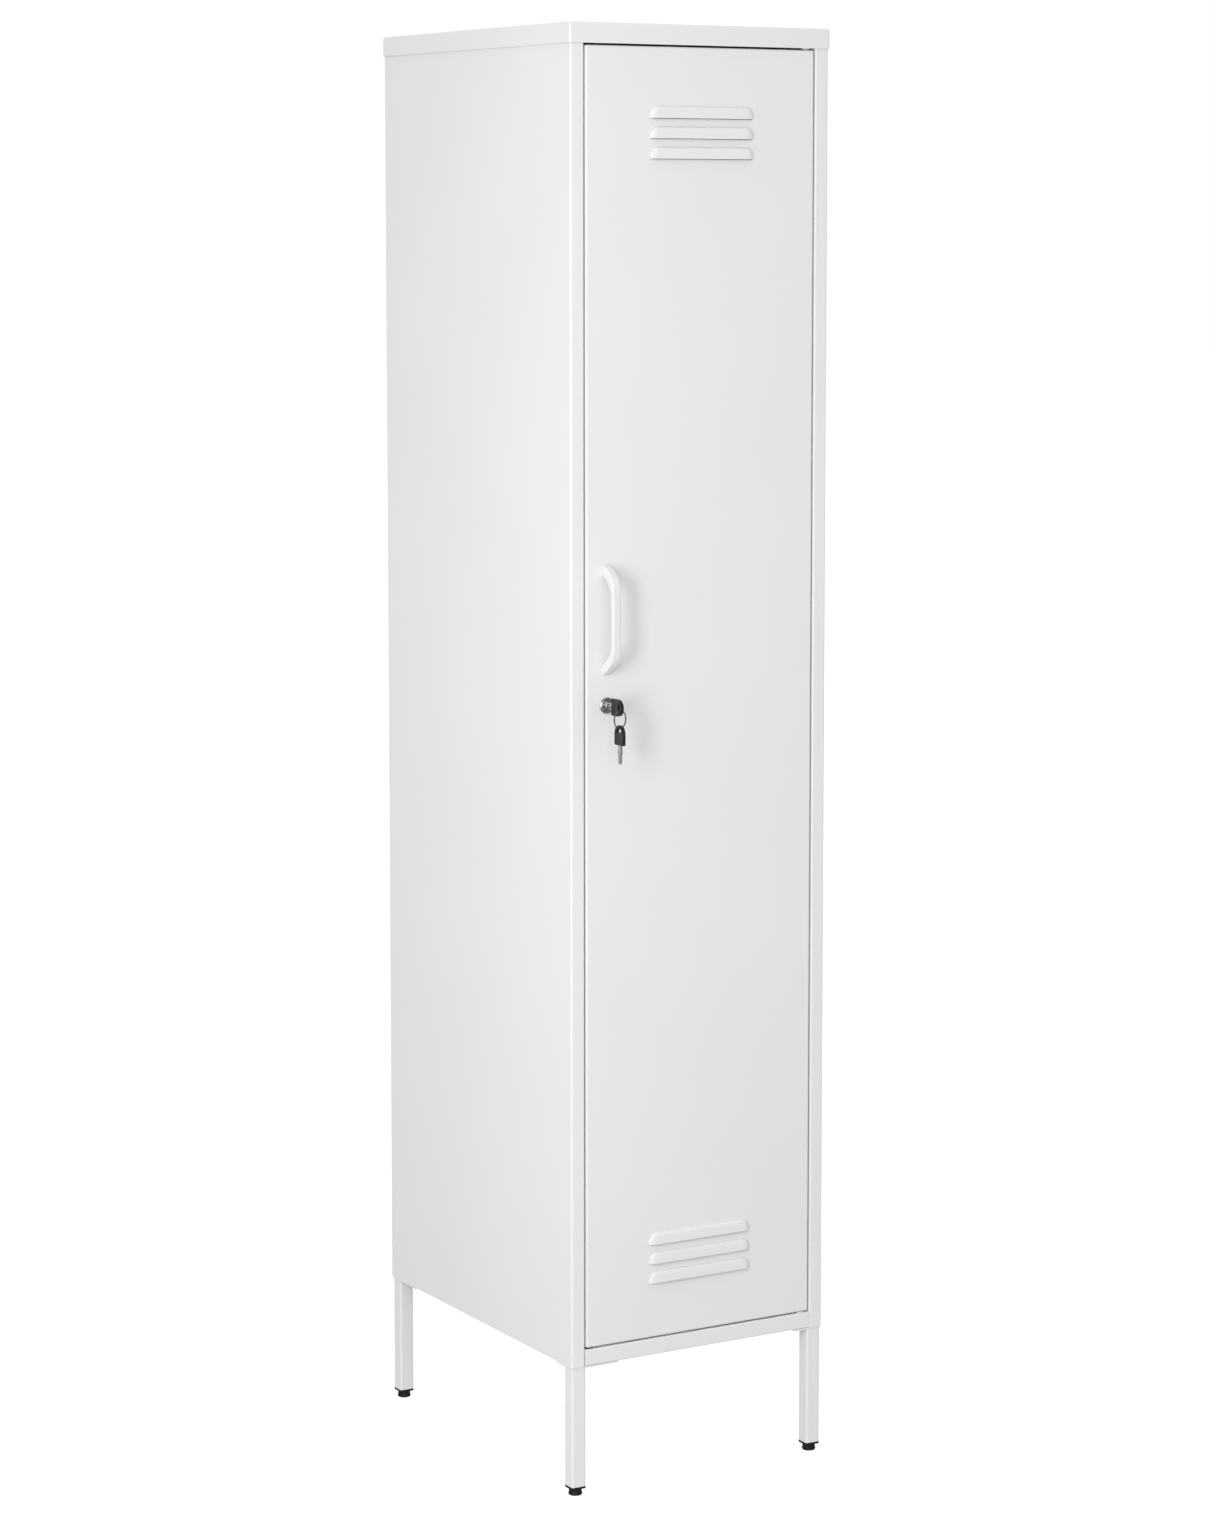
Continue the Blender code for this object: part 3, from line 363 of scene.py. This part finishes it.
HANDLE_FOOT = 14 * MM  # the foot's reach along the door
HANDLE_SWEEP = 34 * MM  # the outer line rises over this length, from the handle's end
HANDLE_INNER_SWEEP = 28 * MM  # and the inner line over this, from the foot's inner end
HANDLE_GRIP_BACK = 21.5 * MM  # the inner line's height off the door along the grip
HANDLE_LIFT = 1.2 * MM  # the outer line's height as it leaves the foot's end
HANDLE_RISE, HANDLE_INNER_RISE = 2.6, 2.2  # how early in the sweep each line has risen
HANDLE_CORNER = 2.2 * MM
HANDLE_STATIONS = 26  # sections in each sweep
GRIP_STATIONS = 12  # steps along the straight grip


def make_handle():
    """A bow of rounded section. Its outer and inner lines sweep down to the door in long curves."""
    low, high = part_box("handle")
    base, stand = high.y, high.y - low.y
    middle_x, middle_z = (low.x + high.x) / 2, (low.z + high.z) / 2
    half_width, half_length = (high.x - low.x) / 2, (high.z - low.z) / 2
    # Points of the two lines, as (height off the door, along the door).
    lines = [(Vector((0, half_length)), Vector((0, half_length - HANDLE_FOOT)))]
    for i in range(1, HANDLE_STATIONS + 1):
        share = min(1.0, 1 - math.cos(math.pi / 2 * i / HANDLE_STATIONS))
        outer_stand = max(stand * (1 - (1 - share) ** HANDLE_RISE), HANDLE_LIFT)
        inner_stand = HANDLE_GRIP_BACK * (1 - (1 - share) ** HANDLE_INNER_RISE)
        outer = Vector((outer_stand, half_length - HANDLE_SWEEP * share))
        inner = Vector((inner_stand, half_length - HANDLE_FOOT - HANDLE_INNER_SWEEP * share))
        lines.append((outer, inner))
    flipped = [(Vector((o.x, -o.y)), Vector((i.x, -i.y))) for o, i in reversed(lines)]
    straight = []
    for k in range(1, GRIP_STATIONS):
        share = k / GRIP_STATIONS
        straight.append(tuple(a.lerp(b, share) for a, b in zip(lines[-1], flipped[0])))
    rings = []
    for outer, inner in lines + straight + flipped:
        centre, reach = (outer + inner) / 2, (outer - inner) / 2
        ring = []
        for across, along in rounded_section(half_width, reach.length, HANDLE_CORNER, 7):
            point = centre + reach.normalized() * along
            ring.append((middle_x + across, base - point.x, middle_z + point.y))
        rings.append(ring)
    piece("bow_handle", skinned(rings), "handle_white", "door", "handle")


# --- Lock ----------------------------------------------------------------------------------------------

BARREL_RADIUS = 9 * MM
BARREL_BORE = 6.2 * MM
THREAD_START = 1.2 * MM  # behind the door's face
THREAD_PITCH = 1.5 * MM
THREAD_DEPTH = 0.5 * MM
THREAD_TURNS = 11


def make_lock():
    """The housing: a rosette with a fine groove near its rim, and a threaded barrel behind."""
    low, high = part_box("lock_housing")
    centre = Vector(((low.x + high.x) / 2, 0, (low.z + high.z) / 2))
    radius, front, end = (high.x - low.x) / 2, low.y, high.y
    door_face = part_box("handle")[1].y
    profile = [
        (BARREL_BORE, end),
        (BARREL_BORE, front + 0.5 * MM),
        (BARREL_BORE + 0.5 * MM, front),
        (radius - 2.6 * MM, front),
        (radius - 2.3 * MM, front + 0.25 * MM),
        (radius - 2.0 * MM, front),
        (radius - 0.9 * MM, front + 0.1 * MM),
        (radius - 0.15 * MM, front + 0.9 * MM),
        (radius, front + 1.6 * MM),
        (radius, door_face),
        (BARREL_RADIUS, door_face),
    ]
    for i in range(THREAD_TURNS):
        y = door_face + THREAD_START + i * THREAD_PITCH
        profile += [(BARREL_RADIUS, y), (BARREL_RADIUS - THREAD_DEPTH, y + THREAD_PITCH / 2)]
    profile.append((BARREL_RADIUS, end))
    housing = turned(rounded_profile(profile, 0.2 * MM, 2), centre, "Y")
    piece("lock_rosette", housing, "chrome", "door", "lock_housing")


# --- Keys and ring -------------------------------------------------------------------------------------

BOW_HOLE_CHORD = 9.2 * MM  # from the bow's tip to the straight side of its hole
BOW_HOLE_DEPTH = 6 * MM
BOW_HOLE_HALF = 5.5 * MM
BOW_CORNER = 1.5 * MM
BOW_EDGE = 0.45 * MM
PANEL_RIM = 2.2 * MM  # the raised rim round the bow's recess
PANEL_TO_HOLE = 1.4 * MM
PANEL_CORNER = 1.2 * MM
PANEL_DEPTH = 0.35 * MM
SEAT_HALF = 4.6 * MM  # the slot in the bow that the neck sits in
SEAT_DEPTH = 4.2 * MM
SEAT_HALF_THICK = 1.1 * MM
NECK_IN_BOW = 4 * MM
NECK_LENGTH = 11 * MM
BLADE_REACH = 24 * MM  # neck and blade, from the bow to the tip
BLADE_HALF = 3.5 * MM
BLADE_EDGE = 0.12 * MM
NOTCHES = ((2.6, 0.8), (5.4, 1.15), (8.2, 0.7))  # below the neck and deep, mm
NOTCH_HALF = 0.9 * MM
GROOVE_OFFSET = 0.9 * MM  # from the blade's middle, to one side on each face
GROOVE_HALF = 0.75 * MM
GROOVE_DEPTH = 0.45 * MM
GROOVE_TOP = 8.5 * MM  # below the bow


def bow_outline(width, length):
    """(across, along) points, from the blade's end at 0 to the rounded tip."""
    half, corner = width / 2, BOW_CORNER
    points = arc((-half + corner, corner), corner, 180, 270, 4)
    points += arc((half - corner, corner), corner, 270, 360, 4)
    points += arc((0, length - width / 2), half, 0, 180, 32)
    return points


def hole_outline(chord):
    """The ring's hole: half an oval on a straight side."""
    points = []
    for i in range(25):
        angle = math.pi * i / 24
        points.append((BOW_HOLE_HALF * math.cos(angle), chord + BOW_HOLE_DEPTH * math.sin(angle)))
    return points


def panel_outline(width, chord):
    """The recess between the rim and the hole."""
    half, corner = width / 2 - PANEL_RIM, PANEL_CORNER
    low, high = PANEL_RIM, chord - PANEL_TO_HOLE
    points = arc((-half + corner, low + corner), corner, 180, 270, 4)
    points += arc((half - corner, low + corner), corner, 270, 360, 4)
    points += arc((half - corner, high - corner), corner, 0, 90, 4)
    points += arc((-half + corner, high - corner), corner, 90, 180, 4)
    return points


def blade_outline(neck):
    """The neck and the notched blade. Along is negative below the bow's blade end."""
    half, shoulder, tip = BLADE_HALF, -NECK_LENGTH, -BLADE_REACH
    right = [(neck / 2, NECK_IN_BOW), (neck / 2, shoulder + 1.2 * MM)]
    right += [(half + 0.4 * MM, shoulder), (half, shoulder - 0.4 * MM)]
    for below, deep in NOTCHES:
        notch = shoulder - below * MM
        right += [(half, notch + NOTCH_HALF), (half - deep * MM, notch), (half, notch - NOTCH_HALF)]
    right += [(half, tip + 2.6 * MM), (half - 1.4 * MM, tip + 0.7 * MM), (MM, tip)]
    return right + [(-a, b) for a, b in reversed(right)]


def rectangle(low_a, high_a, low_b, high_b):
    return [(low_a, low_b), (high_a, low_b), (high_a, high_b), (low_a, high_b)]


def sunk(outline, side, surface, depth):
    """A cutter that sinks an outline this deep into the front or back face of a plate."""
    level, outer = side * (surface - depth), side * surface * 2
    return prism(outline, min(level, outer), max(level, outer))


def make_key(prefix, body, place):
    """A flat key with a plastic bow. Place takes (across, along, through) to the world."""
    low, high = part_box(f"{prefix}_bow")
    thick = high.x - low.x
    width, length = sorted((high.y - low.y, high.z - low.z))
    chord = length - BOW_HOLE_CHORD
    cutters = [prism(hole_outline(chord), -thick, thick)]
    for side in (-1, 1):
        cutters.append(sunk(panel_outline(width, chord), side, thick / 2, PANEL_DEPTH))
    seat = rectangle(-SEAT_HALF, SEAT_HALF, -5 * MM, SEAT_DEPTH)
    cutters.append(prism(seat, -SEAT_HALF_THICK, SEAT_HALF_THICK))
    bow = carved(prism(bow_outline(width, length), -thick / 2, thick / 2), cutters, BOW_EDGE, 3)
    bow.transform(place)
    piece(f"{prefix}_moulded_bow", bow, "black_plastic", body, f"{prefix}_bow")

    low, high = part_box(f"{prefix}_blade")
    metal = high.x - low.x
    neck = min(high.y - low.y, high.z - low.z)
    grooves = []
    for side in (1, -1):
        middle = -side * GROOVE_OFFSET
        groove = rectangle(middle - GROOVE_HALF, middle + GROOVE_HALF, -BLADE_REACH - MM, -GROOVE_TOP)
        grooves.append(sunk(groove, side, metal / 2, GROOVE_DEPTH))
    blade = carved(prism(blade_outline(neck), -metal / 2, metal / 2), grooves, BLADE_EDGE, 2)
    blade.transform(place)
    piece(f"{prefix}_cut_blade", blade, "steel", body, f"{prefix}_blade")


def make_keys():
    """One key stands out of the lock, upright; the other hangs from the ring."""
    low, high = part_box("key_bow")
    x, z = (low.x + high.x) / 2, (low.z + high.z) / 2
    out_of_lock = Matrix(((0, 0, 1, x), (0, -1, 0, high.y), (1, 0, 0, z), (0, 0, 0, 1)))
    make_key("key", "key", out_of_lock)
    low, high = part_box("spare_key_bow")
    x, y = (low.x + high.x) / 2, (low.y + high.y) / 2
    hanging = Matrix(((0, 0, 1, x), (1, 0, 0, y), (0, 1, 0, low.z), (0, 0, 0, 1)))
    make_key("spare_key", "spare_key", hanging)


RING_RADIUS = 11.2 * MM  # to the middle of the wire
RING_CAD_WIRE = 1.5 * MM
WIRE_HALF = (0.62 * MM, 0.36 * MM)  # outwards and sideways
WIRE_STEP = 0.38 * MM  # from the middle to each turn
WIRE_TURNS = 2
WIRE_STATIONS = 200
WIRE_START = math.radians(200)  # where the wire's ends lie
CROSSING = 4.5  # how sharply the wire steps over from one turn to the other


def make_ring():
    """A split ring: two turns of flat spring wire side by side, stepping over where the ends meet."""
    low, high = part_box("key_ring")
    centre = (low + high) / 2
    turn = math.atan2(high.y - low.y - RING_CAD_WIRE, high.x - low.x)
    section = [(a * WIRE_HALF[0], b * WIRE_HALF[1]) for a, b in rounded_section(1.0, 1.0, 0.45, 2)]
    rings = []
    for i in range(WIRE_STATIONS + 1):
        share = i / WIRE_STATIONS
        angle = 2 * math.pi * WIRE_TURNS * share + WIRE_START
        level = WIRE_STEP * math.tanh(CROSSING * (2 * share - 1))
        ring = []
        for a, b in section:
            r = RING_RADIUS + a
            ring.append((r * math.sin(angle), level + b, r * math.cos(angle)))
        rings.append(ring)
    bm = skinned(rings)
    bm.transform(Matrix.Translation(centre) @ Matrix.Rotation(turn, 4, "Z"))
    piece("split_ring", bm, "steel", "ring", "key_ring", look="spring_steel")


# --- Feet ----------------------------------------------------------------------------------------------

FOOT_PAD = 8.8 * MM  # height of the round foot, below its stud
FOOT_STUD = 4 * MM


def make_feet():
    """Levelling feet: a round pad with a raised band at its base, and a stud going up into the leg."""
    for corner in ("front_left", "front_right", "rear_left", "rear_right"):
        node = f"levelling_foot_{corner}"
        low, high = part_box(node)
        x, y = (low.x + high.x) / 2, (low.y + high.y) / 2
        radius = (high.x - low.x) / 2
        profile = [
            (0, 0.0),
            (radius - 2 * MM, 0.0),
            (radius - 0.6 * MM, 0.4 * MM),
            (radius, 1.8 * MM),
            (radius, 3.0 * MM),
            (radius - 0.7 * MM, 3.4 * MM),
            (radius - 0.7 * MM, FOOT_PAD - 1.2 * MM),
            (radius - 1.3 * MM, FOOT_PAD),
            (FOOT_STUD, FOOT_PAD),
            (FOOT_STUD, high.z - 0.6 * MM),
            (FOOT_STUD - 0.6 * MM, high.z),
            (0, high.z),
        ]
        foot = turned(rounded_profile(profile, 0.4 * MM, 3), (x, y, 0), "Z", 64)
        piece(f"glide_{corner}", foot, "black_plastic", f"foot_{corner}", node)


# --- Stage ---------------------------------------------------------------------------------------------

CAMERA_PLACE = (-2.5363, -4.3276, 1.6177)
CAMERA_YAW = 30.46  # degrees to the right of +Y
CAMERA_PITCH = -5.85
CAMERA_LENS = 91.16  # mm on a 36 mm long side
CAMERA_SHIFT = (-0.0055, -0.1)
FLOOR_HALF = 30.0  # half the floor's side
STUDIO_LIGHT = 0.78  # of the white that the camera sees behind the locker
STUDIO_MIRRORED = 0.13  # the same, as glossy surfaces mirror it
SOFTBOXES = (
    # Name, target from the object's middle, direction it shines from, distance, size, power in W
    ("key_light", (0, -0.1, 0.1), (-0.85, -0.53, 0.08), 2.3, (0.5, 1.6), 26),
    ("fill_light", (0, 0, 0), (-0.35, -1, 0.35), 4.0, (3, 3), 27),
    ("top_light", (0, 0, 0), (0, 0.1, 1), 4.0, (3, 3), 30),
)
FLOOR_LIGHT = 0.46  # the floor's glow, as it lights the locker
FLOOR_MIRRORED = 0.05
FLOOR_SEEN = 1.0  # as the camera sees it, to blend it into the white behind
FLOOR_TONES = (0.12, 0.12, 0.12), (0.13, 0.13, 0.13)


def make_camera():
    """The photograph's viewpoint, framed with a small lens shift."""
    data = bpy.data.cameras.new("camera")
    data.lens = CAMERA_LENS
    data.sensor_width = 36.0
    data.shift_x, data.shift_y = CAMERA_SHIFT
    camera = bpy.data.objects.new("camera", data)
    camera.location = CAMERA_PLACE
    angles = (math.radians(90 + CAMERA_PITCH), 0.0, math.radians(-CAMERA_YAW))
    camera.rotation_euler = Euler(angles)
    bpy.context.scene.collection.objects.link(camera)
    bpy.context.scene.camera = camera


def make_floor():
    """A plain pale floor that glows like the white behind it, so that it shows no horizon."""
    bm = bmesh.new()
    bmesh.ops.create_grid(bm, x_segments=1, y_segments=1, size=FLOOR_HALF)
    floor = loose("floor", bm)
    surface = Surface("floor", Specular_IOR_Level=0.1)
    tone = surface.ramp(surface.noise(0.8, 2.0), 0.3, 0.7, 0.0, 1.0)
    colour = surface.blended(tone, *FLOOR_TONES)
    surface.shader.inputs["Emission Color"].default_value = (1, 1, 1, 1)
    path = surface.add("ShaderNodeLightPath", {}).outputs
    glow = surface.ramp(path["Is Glossy Ray"], 0, 1, FLOOR_LIGHT, FLOOR_MIRRORED)
    unseen = surface.maths("SUBTRACT", 1.0, path["Is Camera Ray"])
    glow = surface.maths("MULTIPLY", glow, unseen)
    glow = surface.maths("MULTIPLY_ADD", path["Is Camera Ray"], FLOOR_SEEN, glow)
    surface.tree.links.new(glow, surface.shader.inputs["Emission Strength"])
    rough = surface.ramp(tone, 0, 1, 0.85, 0.9)
    floor.data.materials.append(surface.finish(colour, rough))


def softbox(name, target, direction, distance, size, power):
    """A soft area light that shines on the target from a direction."""
    data = bpy.data.lights.new(name, "AREA")
    data.shape = "RECTANGLE"
    data.size, data.size_y = size
    data.energy = power
    light = bpy.data.objects.new(name, data)
    way = Vector(direction).normalized()
    light.location = Vector(target) + way * distance
    light.rotation_euler = (-way).to_track_quat("-Z", "Y").to_euler()
    bpy.context.scene.collection.objects.link(light)


def make_lights():
    """A white studio: a key softbox near the left front, a broad front fill and an overhead fill."""
    world = bpy.data.worlds.new("studio")
    world.use_nodes = True
    tree = world.node_tree
    background = tree.nodes["Background"]
    background.inputs["Color"].default_value = (1, 1, 1, 1)
    path = tree.nodes.new("ShaderNodeLightPath")
    strength = STUDIO_LIGHT
    for ray, level in (("Is Glossy Ray", STUDIO_MIRRORED), ("Is Camera Ray", 1.0)):
        step = tree.nodes.new("ShaderNodeMix")
        tree.links.new(path.outputs[ray], step.inputs["Factor"])
        if isinstance(strength, float):
            step.inputs["A"].default_value = strength
        else:
            tree.links.new(strength, step.inputs["A"])
        step.inputs["B"].default_value = level
        strength = step.outputs["Result"]
    tree.links.new(strength, background.inputs["Strength"])
    bpy.context.scene.world = world
    middle = (cad_low + cad_high) / 2
    for name, offset, *rest in SOFTBOXES:
        softbox(name, middle + Vector(offset), *rest)
    view = bpy.context.scene.view_settings
    view.view_transform = "Standard"
    view.look = "None"
    view.exposure = 0.0
    view.gamma = 1.0


make_camera()
make_floor()
make_lights()
dress_nodes()
make_handle()
make_lock()
make_keys()
make_ring()
make_feet()
